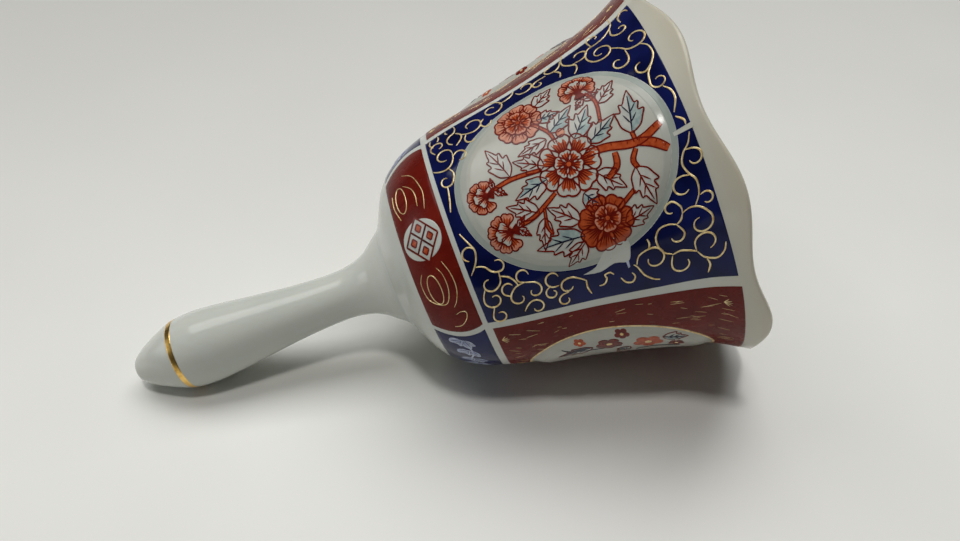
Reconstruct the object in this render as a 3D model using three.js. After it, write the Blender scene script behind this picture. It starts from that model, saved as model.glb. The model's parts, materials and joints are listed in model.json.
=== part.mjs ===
// A porcelain table bell, lying on its side: a flared eight-lobed skirt with four cushion-shaped
// medallions, a slip-cast hollow handle, and a porcelain clapper on a short brass chain that hangs
// from a swivelling split pin in the crown.
//
// Millimetres. World: +X runs along the bell from the handle to the mouth, +Z is up and the bell
// lies on z = 0. Each piece is made in the bell's own frame, whose Z axis is the axis of the bell
// with z = 0 just off the tip of the handle, whose X axis points to the floor and whose Y axis
// points to the far side. One group then lays the whole bell down.

import * as THREE from 'three';

// ---- driving dimensions ----------------------------------------------------------------------

const BELL_SIDES = 56;              // seven sides for each of the eight lobes of the lip
const HANDLE_SIDES = 28;
const PANEL_TURN = 4.5 * 360 / BELL_SIDES;  // middle of the first skirt panel, from the floor line

const LIP_LOBES = 8;
const LOBE_REACH = 1.1;             // the lip runs this far either side of its mean plane
const LOBE_SLOPE = 0.28;            // the lobes reach outwards along the flare by this much
const LOBE_START = 127;
const LIP_Z = 137.6;                // mean height of the outer edge of the lip

// raised medallions, one on each panel: two large ones and, between them, two small ones
const MEDALLION_Z = 109.8;
const MEDALLION_HEIGHT = 1.0;
const MEDALLION_BEVEL = 3.2;
const MEDALLION_EGG = 0.05;         // wider towards the mouth and narrower towards the handle
const LARGE_MEDALLION = { halfLength: 22, halfWidth: 20.4, turn: -2.4 };  // turn: from mid panel
const SMALL_MEDALLION = { halfLength: 19.5, halfWidth: 14.3, turn: 0 };

// outer face of the bell from the crown hole to the lip, [radius, z]
const BELL_OUTSIDE = [
  [2.2, 66.0], [4.6, 66.0], [7.6, 66.35], [10.8, 67.15], [14.6, 69.0], [19.4, 71.5], [23.1, 75.0],
  [26.0, 79.8], [28.0, 85.6], [29.4, 92.0], [30.5, 99.0], [31.9, 106.5], [33.7, 114.0],
  [35.9, 122.0], [38.8, 130.0], [43.0, LIP_Z],
];
const LIP = [[42.6, 138.2], [41.2, 138.2]];
// inner face from the lip back to the crown hole
const BELL_INSIDE = [
  [40.4, 137.3], [36.2, 130.0], [30.9, 114.0], [27.5, 98.0], [24.9, 85.0], [21.7, 78.0],
  [16.8, 73.2], [10.6, 70.2], [5.0, 69.0], [2.2, 69.0],
];

// handle: outside from the rounded tip to the collar, the seat on the crown, then the inside
const HANDLE_OUTSIDE = [
  [0, 2.4], [1.6, 2.7], [3.1, 3.6], [5.05, 6.5], [7.1, 10.8], [8.3, 14.4], [8.75, 19.5],
  [8.3, 25.5], [7.2, 34.5], [6.1, 44.5], [5.65, 53.5], [6.2, 58.5], [7.6, 62.2], [9.7, 65.0],
];
const HANDLE_SEAT = [[10.6, 66.1], [11.2, 66.8], [11.1, 67.0], [9.6, 66.5], [8.6, 66.2]];
const HANDLE_INSIDE = [
  [7.4, 65.2], [5.8, 63.4], [4.4, 61.0], [3.2, 57.0], [3.0, 50.0], [3.5, 42.0], [4.7, 32.0],
  [5.6, 23.5], [5.3, 17.0], [3.4, 11.5], [0, 9.6],
];

const WASHER_BORE = 1.6;
const WASHER_RADIUS = 4.2;
const WASHER_THICK = 0.8;
const UPPER_WASHER_Z = 64.8;
const LOWER_WASHER_Z = 69.35;

const PIN_WIRE = 0.5;               // radius of the split pin's wire
const EYE_Z = 75.2;                 // middle of the wire at the far end of the split pin's eye

const LINK_WIRE = 0.55;
const LINK_BOW = 1.75;              // radius of each round end, to the middle of the wire
const LINK_LENGTH = 7.9;            // between the middles of the wire at its two ends
const LINK_COUNT = 4;
const LINK_HOOK = 1.45;             // distance between the wires of two links that hang together
const LINK_STEP = LINK_LENGTH - LINK_HOOK;
const CHAIN_TURN = 34.5;            // the taut chain dips this far, until the clapper meets the wall

const BEAD_RADIUS = 7.5;
const BEAD_BORE = 0.95;
const BEAD_DROP = 11.1;             // from the last link's wire to the middle of the bead

// ---- materials -------------------------------------------------------------------------------

const porcelain = new THREE.MeshStandardMaterial({ color: 0xe9ebe6, roughness: 0.12, metalness: 0 });
const bisque = new THREE.MeshStandardMaterial({ color: 0xe8e2d4, roughness: 0.35, metalness: 0 });
const brass = new THREE.MeshStandardMaterial({ color: 0xb08d4a, roughness: 0.35, metalness: 1 });

// ---- shared helpers --------------------------------------------------------------------------

const rad = THREE.MathUtils.degToRad;

function points(pairs) {
  return pairs.map(([r, z]) => new THREE.Vector2(r, z));
}

function smooth(pairs, count) {
  return new THREE.SplineCurve(points(pairs)).getPoints(count);
}

// A solid of revolution about Z whose flat sides touch the true round at their middles, with the
// middle of one side on the floor line.
function turned(profile, sides) {
  const step = 2 * Math.PI / sides;
  const grow = 1 / Math.cos(step / 2);
  const outline = profile.map((p) => new THREE.Vector2(p.x * grow, p.y));
  const shape = new THREE.LatheGeometry(outline, sides, Math.PI / 2 + step / 2, 2 * Math.PI);
  return shape.rotateX(Math.PI / 2);
}

function ring(inner, outer, low, high, sides) {
  const corners = [[inner, low], [outer, low], [outer, high], [inner, high], [inner, low]];
  return turned(points(corners), sides);
}

function wire(route, radius, steps) {
  const section = new THREE.Shape();
  section.absarc(0, 0, radius, 0, 2 * Math.PI, false);
  const path = new THREE.CatmullRomCurve3(route);
  return new THREE.ExtrudeGeometry(section, {
    steps, extrudePath: path, curveSegments: 4,
  });
}

function piece(name, geometry, material) {
  const mesh = new THREE.Mesh(geometry, material);
  mesh.name = name;
  return mesh;
}

// ---- bell ------------------------------------------------------------------------------------

// How far the medallion on the nearest panel lifts the outer face at this place.
function medallionLift(angle, radius, z) {
  const turn = THREE.MathUtils.radToDeg(angle) - PANEL_TURN;
  const large = Math.cos(rad(2 * turn)) > 0;
  const oval = large ? LARGE_MEDALLION : SMALL_MEDALLION;
  const offset = rad(THREE.MathUtils.euclideanModulo(turn + 45, 90) - 45 - oval.turn);
  const along = (z - MEDALLION_Z) / oval.halfLength;
  const across = offset * radius / (oval.halfWidth * (1 + MEDALLION_EGG * along));
  const inside = (1 - Math.hypot(along, across)) * oval.halfWidth;
  return MEDALLION_HEIGHT * THREE.MathUtils.smoothstep(inside, 0, MEDALLION_BEVEL);
}

function bellBody() {
  const outside = smooth(BELL_OUTSIDE, 21);
  const inside = smooth(BELL_INSIDE, 11);
  const profile = [...outside, ...points(LIP), ...inside, outside[0].clone()];
  const shape = turned(profile, BELL_SIDES);
  const place = shape.attributes.position;
  for (let i = 0; i < place.count; i += 1) {
    const row = i % profile.length;
    const angle = Math.atan2(place.getY(i), place.getX(i));
    const z = place.getZ(i);
    let radius = Math.hypot(place.getX(i), place.getY(i));
    if (row < outside.length) radius += medallionLift(angle, radius, z);
    const share = THREE.MathUtils.smoothstep(z, LOBE_START, LIP_Z);
    const lobe = -share * LOBE_REACH * Math.cos(LIP_LOBES * (angle - rad(PANEL_TURN)));
    radius += lobe * LOBE_SLOPE;
    place.setXYZ(i, radius * Math.cos(angle), radius * Math.sin(angle), z + lobe);
  }
  return piece('bell_body', shape, porcelain);
}

function handle() {
  const outside = smooth(HANDLE_OUTSIDE, 18);
  const inside = smooth(HANDLE_INSIDE, 11);
  outside[0].x = 0;
  inside[inside.length - 1].x = 0;
  return piece('handle', turned([...outside, ...points(HANDLE_SEAT), ...inside], HANDLE_SIDES), porcelain);
}

// ---- hanger ----------------------------------------------------------------------------------

function crownWasher(name, z) {
  return piece(name, ring(WASHER_BORE, WASHER_RADIUS, z, z + WASHER_THICK, 20), brass);
}

// A folded wire: its two legs go up through the crown and are bent apart above the upper washer,
// and the fold below is a round eye in the plane of Y and Z.
function splitPin() {
  const half = [
    [3.4, 63.4], [1.7, 63.75], [0.8, 64.7], [0.65, 66.2], [0.65, 70.2], [0.95, 71.4],
    [1.62, 72.5], [1.75, 73.6], [1.24, 74.7],
  ];
  const near = half.map(([y, z]) => new THREE.Vector3(0, -y, z));
  const far = half.map(([y, z]) => new THREE.Vector3(0, y, z)).reverse();
  const route = [...near, new THREE.Vector3(0, 0, EYE_Z), ...far];
  return piece('hanger_split_pin', wire(route, PIN_WIRE, 44), brass);
}

// ---- chain and clapper -----------------------------------------------------------------------

// One link along Z with the middle of its upper wire at z = 0. A ring is stretched, so each side is
// straight between the two round ends.
function chainLink() {
  const stretch = LINK_LENGTH / 2 - LINK_BOW;
  const shape = new THREE.TorusGeometry(LINK_BOW, LINK_WIRE, 6, 16);
  shape.rotateX(Math.PI / 2);
  const place = shape.attributes.position;
  for (let i = 0; i < place.count; i += 1) {
    const z = place.getZ(i);
    const end = Math.abs(z) < 0.01 ? 0 : Math.sign(z);
    place.setZ(i, z + end * stretch + LINK_LENGTH / 2);
  }
  return shape;
}

// A wire with an eye bent at its top, in the plane of Y and Z, that runs down through the bead and
// is bent over below it. The middle of the eye's upper wire is at z = 0.
function clapperPin() {
  const beadBottom = LINK_HOOK + BEAD_DROP + BEAD_RADIUS;
  const route = [];
  for (let turn = -132; turn <= 135; turn += 26.7) {
    const angle = rad(turn);
    route.push(new THREE.Vector3(0, LINK_BOW * Math.sin(angle), LINK_BOW * (1 - Math.cos(angle))));
  }
  route.push(new THREE.Vector3(0, 0.45, LINK_BOW * 2 - 0.05));
  route.push(new THREE.Vector3(0, 0, LINK_BOW * 2 + 0.9));
  route.push(new THREE.Vector3(0, 0, LINK_BOW * 2 + 3));
  route.push(new THREE.Vector3(0, 0, beadBottom - 2));
  route.push(new THREE.Vector3(0, 0, beadBottom + 0.1));
  route.push(new THREE.Vector3(0, 0.35, beadBottom + 0.85));
  route.push(new THREE.Vector3(0, 1.1, beadBottom + 1.1));
  route.push(new THREE.Vector3(0, 2.2, beadBottom + 1.1));
  return piece('clapper_pin', wire(route, LINK_WIRE, 46), brass);
}

function clapperBead() {
  const profile = [];
  const open = Math.asin(BEAD_BORE / BEAD_RADIUS);
  const rows = 12;
  for (let i = 0; i <= rows; i += 1) {
    const angle = open + (Math.PI - 2 * open) * i / rows;
    profile.push(new THREE.Vector2(BEAD_RADIUS * Math.sin(angle), -BEAD_RADIUS * Math.cos(angle)));
  }
  profile.push(profile[0].clone());
  return piece('clapper_bead', turned(profile, 20), bisque);
}

// The chain hangs from the eye: the first link and each second one after it lie in the plane of X
// and Z, the others lie across it, and so does the eye of the pin across the last link.
function chain() {
  const hung = new THREE.Group();
  for (let i = 0; i < LINK_COUNT; i += 1) {
    const link = piece(`chain_link_${i + 1}`, chainLink(), brass);
    link.position.z = i * LINK_STEP - LINK_HOOK;
    if (i % 2 === 1) link.rotation.z = Math.PI / 2;
    hung.add(link);
  }
  const pin = clapperPin();
  pin.position.z = LINK_COUNT * LINK_STEP - LINK_HOOK;
  pin.rotation.z = Math.PI / 2;
  hung.add(pin);
  const bead = clapperBead();
  bead.position.z = LINK_COUNT * LINK_STEP + BEAD_DROP;
  hung.add(bead);
  hung.position.z = EYE_Z;
  hung.rotation.y = rad(CHAIN_TURN);
  return hung;
}

// ---- laying the bell on its side -------------------------------------------------------------

// How low an outline reaches when the axis rises by this tilt.
function reach(outline, tilt) {
  return Math.max(...outline.map((p) => p.x * Math.cos(tilt) - p.y * Math.sin(tilt)));
}

// The tilt at which the bulb of the handle and the lip reach equally low.
function restingTilt(bulb, skirt) {
  let low = rad(5);
  let high = rad(30);
  for (let i = 0; i < 50; i += 1) {
    const tilt = (low + high) / 2;
    if (reach(skirt, tilt) > reach(bulb, tilt)) low = tilt;
    else high = tilt;
  }
  return low;
}

function bell() {
  const bulb = smooth(HANDLE_OUTSIDE, 18);
  const skirt = smooth(BELL_OUTSIDE, 21);
  const tilt = restingTilt(bulb, skirt);
  const laid = new THREE.Group();
  laid.add(bellBody());
  laid.add(handle());
  laid.add(crownWasher('crown_washer_upper', UPPER_WASHER_Z));
  laid.add(crownWasher('crown_washer_lower', LOWER_WASHER_Z));
  laid.add(splitPin());
  laid.add(chain());
  laid.rotation.y = Math.PI / 2 - tilt;
  laid.position.z = Math.max(reach(bulb, tilt), reach(skirt, tilt));
  const centred = new THREE.Group();
  centred.add(laid);
  const box = new THREE.Box3().setFromObject(centred, true);
  laid.position.x = -(box.min.x + box.max.x) / 2;
  return centred;
}

export default bell();
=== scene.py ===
"""A porcelain table bell with painted panels, lying on its side on a pale floor.

The frame is in metres. Each piece is drawn in millimetres in a frame of its own: the bell's has its
Z axis on the axis of the bell, its X axis towards the floor and its Y axis to the far side. A place
on the skirt is given by x, the height along the bell's axis, and y, the distance round the bell
from the middle of a panel. Paint lies on the skirt as sheets a few hundredths of a millimetre thick.
"""
import bisect
import json
import math
import random

import bpy
from mathutils import Matrix, Vector


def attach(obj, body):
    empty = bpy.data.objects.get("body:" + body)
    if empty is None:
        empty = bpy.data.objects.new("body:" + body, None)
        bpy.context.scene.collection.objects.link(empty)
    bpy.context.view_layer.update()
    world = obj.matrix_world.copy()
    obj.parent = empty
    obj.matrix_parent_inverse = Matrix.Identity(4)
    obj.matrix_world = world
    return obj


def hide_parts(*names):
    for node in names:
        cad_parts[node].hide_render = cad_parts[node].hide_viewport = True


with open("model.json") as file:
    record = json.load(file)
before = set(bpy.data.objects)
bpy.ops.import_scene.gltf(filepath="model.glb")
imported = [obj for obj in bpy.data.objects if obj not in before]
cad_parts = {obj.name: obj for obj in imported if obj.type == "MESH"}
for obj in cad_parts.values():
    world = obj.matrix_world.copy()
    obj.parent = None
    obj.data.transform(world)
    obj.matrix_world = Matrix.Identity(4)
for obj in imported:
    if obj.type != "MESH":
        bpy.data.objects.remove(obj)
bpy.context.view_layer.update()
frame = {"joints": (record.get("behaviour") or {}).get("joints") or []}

# ---- frames

MM = 0.001
joints = {joint["name"]: joint for joint in frame["joints"]}


def own_frame(origin, axis):
    """Takes millimetres about this axis, with Y to the far side, to metres in the frame."""
    z = Vector(axis).normalized()
    y = Vector((0, 1, 0))
    turn = Matrix((y.cross(z), y, z)).transposed().to_4x4()
    return Matrix.Translation(origin) @ turn @ Matrix.Scale(MM, 4)


EYE_Z = 75.2                        # the eye of the split pin, along the axis of the bell
swivel = joints["hanger_swivel"]
bell_axis = Vector(swivel["axis"]).normalized()
BELL = own_frame(Vector(swivel["pos_m"]) - bell_axis * EYE_Z * MM, bell_axis)
CHAIN = own_frame(joints["link_1_lift"]["pos_m"], joints["bead_spin"]["axis"])

# ---- shapes shared with the CAD

PANEL_TURN = 4.5 * 360 / 56         # middle of the first cobalt panel, degrees from the floor line
LIP_LOBES = 8
LOBE_REACH = 1.1
LOBE_SLOPE = 0.28
LOBE_START = 127
LIP_Z = 137.6

MEDALLION_Z = 109.8
MEDALLION_HEIGHT = 1.0
MEDALLION_BEVEL = 3.2
MEDALLION_EGG = 0.05                # wider towards the mouth and narrower towards the handle
LARGE_MEDALLION = (22, 20.4, -2.4)  # half length, half width, degrees from mid panel
SMALL_MEDALLION = (19.5, 14.3, 0)

BELL_OUTSIDE = [
    (2.2, 66), (4.6, 66), (7.6, 66.35), (10.8, 67.15), (14.6, 69), (19.4, 71.5),
    (23.1, 75), (26, 79.8), (28, 85.6), (29.4, 92), (30.5, 99), (31.9, 106.5),
    (33.7, 114), (35.9, 122), (38.8, 130), (43, LIP_Z),
]
LIP = [(43, LIP_Z), (42.9, 138), (42.4, 138.3), (41.6, 138.3), (40.8, 137.9), (40.4, 137.3)]
BELL_INSIDE = [
    (40.4, 137.3), (36.2, 130), (30.9, 114), (27.5, 98), (24.9, 85), (21.7, 78),
    (16.8, 73.2), (10.6, 70.2), (5, 69), (2.2, 69),
]
HANDLE_OUTSIDE = [
    (0, 2.4), (1.6, 2.7), (3.1, 3.6), (5.05, 6.5), (7.1, 10.8), (8.3, 14.4), (8.75, 19.5),
    (8.3, 25.5), (7.2, 34.5), (6.1, 44.5), (5.65, 53.5), (6.2, 58.5), (7.6, 62.2), (9.7, 65),
]
HANDLE_SEAT = [(9.7, 65), (10.6, 66.2), (11.4, 67.1), (12.2, 67.85), (10.7, 67.4), (8.6, 66.2)]
HANDLE_INSIDE = [
    (8.6, 66.2), (7.4, 65.2), (5.8, 63.4), (4.4, 61), (3.2, 57), (3, 50), (3.5, 42),
    (4.7, 32), (5.6, 23.5), (5.3, 17), (3.4, 11.5), (0, 9.6),
]


def smooth(points, count):
    """A smooth curve through the points, with this many steps between each two of them."""
    curve = []
    last = len(points) - 1
    for k in range(last):
        four = [points[max(k - 1, 0)], points[k], points[k + 1], points[min(k + 2, last)]]
        for step in range(count):
            t = step / count
            place = []
            for a, b, c, d in zip(*four):
                start, end = (c - a) / 2, (d - b) / 2
                cube = 2 * (b - c) + start + end
                square = 3 * (c - b) - 2 * start - end
                place.append(((cube * t + square) * t + start) * t + b)
            curve.append(tuple(place))
    return [*curve, tuple(points[-1])]


def swell(share, power):
    """Rises from 0 to 1 and falls back to 0 as the share goes from 0 to 1."""
    return abs(math.sin(math.pi * share)) ** power


def smoothstep(value, low, high):
    share = min(max((value - low) / (high - low), 0), 1)
    return share * share * (3 - 2 * share)


def between(a, b, share):
    """The place this share of the way from a to b."""
    return tuple(p + (q - p) * share for p, q in zip(a, b))


def circle(count):
    """The angles of this many equal steps round a circle."""
    return [2 * math.pi * k / count for k in range(count)]


def polar(centre, radius, angle):
    return (centre[0] + radius * math.cos(angle), centre[1] + radius * math.sin(angle))


def ellipse(centre, half_x, half_y, count):
    x, y = centre
    return [(x + half_x * math.cos(turn), y + half_y * math.sin(turn)) for turn in circle(count)]


skirt = [place for place in smooth(BELL_OUTSIDE, 30) if place[1] > 69]
skirt_heights = [z for _, z in skirt]


def skirt_radius(z):
    k = min(max(bisect.bisect(skirt_heights, z), 1), len(skirt) - 1)
    (r0, z0), (r1, z1) = skirt[k - 1], skirt[k]
    return r0 + (r1 - r0) * (z - z0) / (z1 - z0)


def arc(x, degrees):
    """The distance round the skirt that this angle takes up at this height."""
    return math.radians(degrees) * skirt_radius(x)


def medallion_depth(angle, radius, z):
    """Runs from 1 in the middle of the nearest medallion to 0 on its edge, with its half width."""
    turn = angle - PANEL_TURN
    large = math.cos(math.radians(2 * turn)) > 0
    half_length, half_width, middle = LARGE_MEDALLION if large else SMALL_MEDALLION
    offset = math.radians((turn + 45) % 90 - 45 - middle)
    along = (z - MEDALLION_Z) / half_length
    across = offset * radius / (half_width * (1 + MEDALLION_EGG * along))
    return 1 - math.hypot(along, across), half_width


def medallion_lift(angle, radius, z):
    """How far the medallion of the nearest panel lifts the outer face. The angle is in degrees."""
    depth, half_width = medallion_depth(angle, radius, z)
    return MEDALLION_HEIGHT * smoothstep(depth * half_width, 0, MEDALLION_BEVEL)


def lobe(angle, z):
    """How far the wave of the lip moves the wall along the axis."""
    wave = math.cos(math.radians(LIP_LOBES * (angle - PANEL_TURN)))
    return -smoothstep(z, LOBE_START, LIP_Z) * LOBE_REACH * wave


def skin(x, angle, lift=0.0):
    """The place this far above the outer face, at this height and angle in degrees."""
    z = x
    for _ in range(4):
        z = x - lobe(angle, z)
    slope = math.atan((skirt_radius(z + 0.2) - skirt_radius(z - 0.2)) / 0.4)
    radius = skirt_radius(z)
    radius += medallion_lift(angle, radius, z) + lobe(angle, z) * LOBE_SLOPE + lift * math.cos(slope)
    return BELL @ Vector((*polar((0, 0), radius, math.radians(angle)), x - lift * math.sin(slope)))


# ---- materials

def srgb(red, green, blue):
    """A colour given as it looks on screen, 0 to 255, in linear light."""
    linear = []
    for value in (red, green, blue):
        share = value / 255
        linear.append(share / 12.92 if share <= 0.04045 else ((share + 0.055) / 1.055) ** 2.4)
    return (*linear, 1.0)


def feed(tree, node, inputs):
    """Sets inputs of a node, each to a value or to the output of another node."""
    for name, value in inputs.items():
        if isinstance(value, bpy.types.NodeSocket):
            tree.links.new(value, node.inputs[name])
        else:
            node.inputs[name].default_value = value


def new_node(tree, kind, inputs, output=0, **settings):
    """Adds a shader node and gives its output."""
    node = tree.nodes.new("ShaderNode" + kind)
    for name, value in settings.items():
        setattr(node, name, value)
    feed(tree, node, inputs)
    return node.outputs[output]


class Material:
    """A node material on the frame's own coordinates, in metres."""

    def __init__(self, name, roughness, metallic=0.0):
        self.material = bpy.data.materials.new(name)
        self.material.use_nodes = True
        self.tree = self.material.node_tree
        self.place = self.node("TexCoord", {}, "Object")
        self.surface({"Roughness": roughness, "Metallic": metallic})

    def node(self, kind, inputs, output=0, **settings):
        return new_node(self.tree, kind, inputs, output, **settings)

    def surface(self, inputs):
        feed(self.tree, self.tree.nodes["Principled BSDF"], inputs)

    def noise(self, size, detail, place=None):
        """Noise whose features are about this many millimetres across."""
        return self.node("TexNoise", {
            "Vector": place or self.place, "Scale": 1 / (size * MM), "Detail": detail})

    def ramp(self, factor, *stops):
        """A colour that goes from the first stop to the second, both as (factor, screen colour)."""
        output = self.node("ValToRGB", {"Fac": factor})
        for element, (position, colour) in zip(output.node.color_ramp.elements, stops):
            element.position = position
            element.color = srgb(*colour)
        return output

    def mix(self, factor, first, second, blend="MIX"):
        return self.node(
            "Mix", {"Factor": factor, 6: first, 7: second}, 2, data_type="RGBA", blend_type=blend)

    def level(self, factor, low, high, start=0, end=1, **settings):
        """A number that runs from low to high as the factor goes from start to end."""
        return self.node("MapRange", {
            "Value": factor, "From Min": start, "From Max": end, "To Min": low, "To Max": high,
        }, **settings)

    def bump(self, size, detail, depth):
        """Relief of this depth in millimetres, from noise."""
        return self.node("Bump", {"Height": self.noise(size, detail), "Distance": depth * MM})


def porcelain_material():
    made = Material("porcelain_glaze", 0.09)
    tint = made.ramp(made.noise(34, 2), (0.35, (201, 205, 197)), (0.65, (211, 213, 205)))
    specks = made.ramp(made.noise(0.55, 1), (0, (150, 135, 115)), (0.145, (255, 255, 255)))
    # painted light and shade: towards the lip the glaze turns a darker, warmer ivory, for light
    # shining through the thin wall and the shade inside the bell
    along = made.node("VectorMath", {0: made.place, 1: bell_axis}, "Value", operation="DOT_PRODUCT")
    offset = BELL.translation.dot(bell_axis)
    lip_painted_shade_mask = made.level(along, 0, 1, 0.128 + offset, 0.138 + offset)
    lip = made.mix(lip_painted_shade_mask, tint, srgb(200, 195, 178))
    made.surface({
        "Base Color": made.mix(0.5, lip, specks, "MULTIPLY"),
        "Roughness": made.level(made.noise(7, 4), 0.06, 0.15),
        "Normal": made.bump(5.5, 2, 0.02),
        "Subsurface Weight": 0.25,
        "Subsurface Radius": (1.0, 0.8, 0.55),
        "Subsurface Scale": 1.6 * MM,
        "Specular IOR Level": 0.36,
    })
    return made.material


def enamel(name, dark, light, size, roughness, streak=(1, 1, 1), gloss=0.3):
    """Paint fired under a clear glaze: two shades that drift into each other."""
    made = Material(name, roughness)
    streaked = made.node("Mapping", {"Vector": made.place, "Scale": streak})
    made.surface({
        "Base Color": made.ramp(made.noise(size, 4, streaked), (0.3, dark), (0.7, light)),
        "Roughness": made.level(made.noise(2.5, 3), roughness * 0.7, roughness * 1.4),
        "Normal": made.bump(3.5, 2, 0.015),
        "Specular IOR Level": gloss,
    })
    return made.material


def worn(name, roughness, metallic, wear, dark, light, shine=None, grain=None):
    """A surface that is darker and duller where it is worn, with a relief where grain is given."""
    made = Material(name, roughness, metallic)
    wear = made.noise(*wear)
    made.surface({"Base Color": made.ramp(wear, dark, light)})
    if shine:
        made.surface({"Roughness": made.level(wear, *shine)})
    if grain:
        made.surface({"Normal": made.bump(*grain)})
    return made.material


PORCELAIN = porcelain_material()
IVORY = enamel("ivory_ground", (180, 180, 170), (190, 189, 180), 5, 0.14)
BISQUE = worn("bisque", 0.42, 0, (0.8, 4), (0.3, (205, 196, 178)), (0.6, (231, 226, 213)),
              grain=(0.8, 4, 0.03))
BRASS = worn("aged_brass", 0.3, 1, (2.4, 5), (0.32, (112, 84, 42)), (0.6, (190, 156, 88)),
             (0.55, 0.24), (0.3, 3, 0.02))
GOLD = worn("gold_lustre", 0.34, 0.45, (1.1, 4), (0.3, (206, 168, 98)), (0.58, (250, 228, 172)),
            (0.42, 0.24), (0.4, 2, 0.01))
BRIGHT_GOLD = worn("gold_band_lustre", 0.24, 1, (1.6, 4), (0.3, (196, 150, 66)),
                   (0.55, (240, 198, 112)), (0.4, 0.2))


# ---- mesh helpers

def add_object(name, data):
    made = bpy.data.objects.new(name, data)
    bpy.context.scene.collection.objects.link(made)
    return made


def mesh_piece(name, vertices, faces, material, body, replaced=()):
    """A smooth-shaded piece that rides on a body and may stand for CAD nodes."""
    mesh = bpy.data.meshes.new(name)
    mesh.from_pydata(vertices, [], faces)
    mesh.validate()
    mesh.update()
    mesh.shade_smooth()
    mesh.materials.append(material)
    made = add_object(name, mesh)
    if replaced:
        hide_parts(*replaced)
    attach(made, body)
    return made


def grid_faces(rows, columns, closed_rows=False, closed_columns=False, first=0):
    """Quads of a grid whose vertices run along its rows."""
    faces = []
    for row in range(rows if closed_rows else rows - 1):
        near = first + row * columns
        far = first + (row + 1) % rows * columns
        for column in range(columns if closed_columns else columns - 1):
            beside = (column + 1) % columns
            faces.append((near + column, near + beside, far + beside, far + column))
    return faces


def turned(name, outline, sides, place, material, body, replaced=(), closed=False):
    """A turned piece about Z. An outline that starts and ends on the axis is closed by fans."""
    inner = [point for point in outline if point[0] > 1e-6]
    vertices = []
    for radius, z in inner:
        for turn in circle(sides):
            vertices.append(place @ Vector((*polar((0, 0), radius, turn), z)))
    faces = grid_faces(len(inner), sides, closed, True)
    for end, row in ((outline[0], 0), (outline[-1], len(inner) - 1)):
        if end[0] > 1e-6:
            continue
        tip = len(vertices)
        vertices.append(place @ Vector((0, 0, end[1])))
        for side in range(sides):
            pair = (row * sides + side, row * sides + (side + 1) % sides)
            faces.append((tip, *(reversed(pair) if row == 0 else pair)))
    return mesh_piece(name, vertices, faces, material, body, replaced)


WIRE_SIDES = 16


def wire(name, route, radius, place, body, replaced, closed=False):
    """A round brass wire along a route, with rounded ends where it isn't closed."""
    points = [Vector(point) for point in route]
    last = len(points) - 1
    rings = []
    side = None
    for k, point in enumerate(points):
        ahead = points[(k + 1) % len(points)] if closed else points[min(k + 1, last)]
        behind = points[k - 1] if closed or k else points[0]
        along = (ahead - behind).normalized()
        if side is None:
            side = along.orthogonal().normalized()
        side = (side - along * side.dot(along)).normalized()
        rings.append((point, along, side, radius))
    if not closed:
        ends = (rings[0], -1), (rings[-1], 1)
        for turn in map(math.radians, (30, 60, 85)):
            for (point, along, side, _), out in ends:
                middle = point + along * out * radius * math.sin(turn)
                ring = (middle, along, side, radius * math.cos(turn))
                rings.insert(0 if out < 0 else len(rings), ring)
    vertices = []
    for point, along, side, size in rings:
        other = along.cross(side)
        for turn in circle(WIRE_SIDES):
            vertices.append(place @ (point + (side * math.cos(turn) + other * math.sin(turn)) * size))
    faces = grid_faces(len(rings), WIRE_SIDES, closed, True)
    if not closed:
        faces.append(tuple(range(WIRE_SIDES)))
        faces.append(tuple(reversed(range(len(vertices) - WIRE_SIDES, len(vertices)))))
    mesh_piece(name, vertices, faces, BRASS, body, [replaced])


# ---- porcelain

IVORY_DEPTH = 0.09                  # the ground of a medallion is ivory inside its bevel


def bell_body():
    outer = smooth(BELL_OUTSIDE, 12)
    outline = outer + smooth(LIP, 3)[1:] + smooth(BELL_INSIDE, 6)[1:]
    sides = 384
    vertices = []
    for row, (flat_radius, flat_z) in enumerate(outline):
        for side in range(sides):
            angle = 360 * side / sides
            wave = lobe(angle, flat_z)
            radius = flat_radius + wave * LOBE_SLOPE
            if row < len(outer):
                radius += medallion_lift(angle, flat_radius, flat_z)
            place = (*polar((0, 0), radius, math.radians(angle)), flat_z + wave)
            vertices.append(BELL @ Vector(place))
    faces = grid_faces(len(outline), sides, True, True)
    made = mesh_piece("bell_skirt", vertices, faces, PORCELAIN, "bell", ["bell_body"])
    made.data.materials.append(IVORY)
    for face in made.data.polygons:
        row, side = divmod(face.index, sides)
        radius, z = outline[row]
        if 75 < z < LIP_Z and row < len(outer):
            depth, _ = medallion_depth(360 * (side + 0.5) / sides, radius, z)
            face.material_index = 1 if depth > IVORY_DEPTH else 0


def handle():
    outline = smooth(HANDLE_OUTSIDE, 8) + smooth(HANDLE_SEAT, 4)[1:] + smooth(HANDLE_INSIDE, 5)[1:]
    turned("bell_handle", outline, 128, BELL, PORCELAIN, "bell", ["handle"])


def handle_band():
    """The gold band round the bulb of the handle, a rounded ridge of gold lustre."""
    inside = [place for place in smooth(HANDLE_OUTSIDE, 30) if 13.6 <= place[1] <= 15.2]
    outline = []
    for k, (radius, z) in enumerate(inside):
        outline.append((radius + (-0.02 if k in (0, len(inside) - 1) else 0.05), z))
    turned("gold_band", outline, 128, BELL, BRIGHT_GOLD, "bell")


# ---- brass hanger, chain and clapper

WASHER_BORE = 1.6
WASHER_RADIUS = 4.2
WASHER_THICK = 0.8
WASHERS = {"crown_washer_upper": 64.8, "crown_washer_lower": 69.35}
PIN_WIRE = 0.5
LINK_WIRE = 0.55
LINK_BOW = 1.75
LINK_LENGTH = 7.9
LINK_COUNT = 4
LINK_HOOK = 1.45
LINK_STEP = LINK_LENGTH - LINK_HOOK
BEAD_RADIUS = 7.5
BEAD_BORE = 0.95
BEAD_DROP = 11.1


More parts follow.
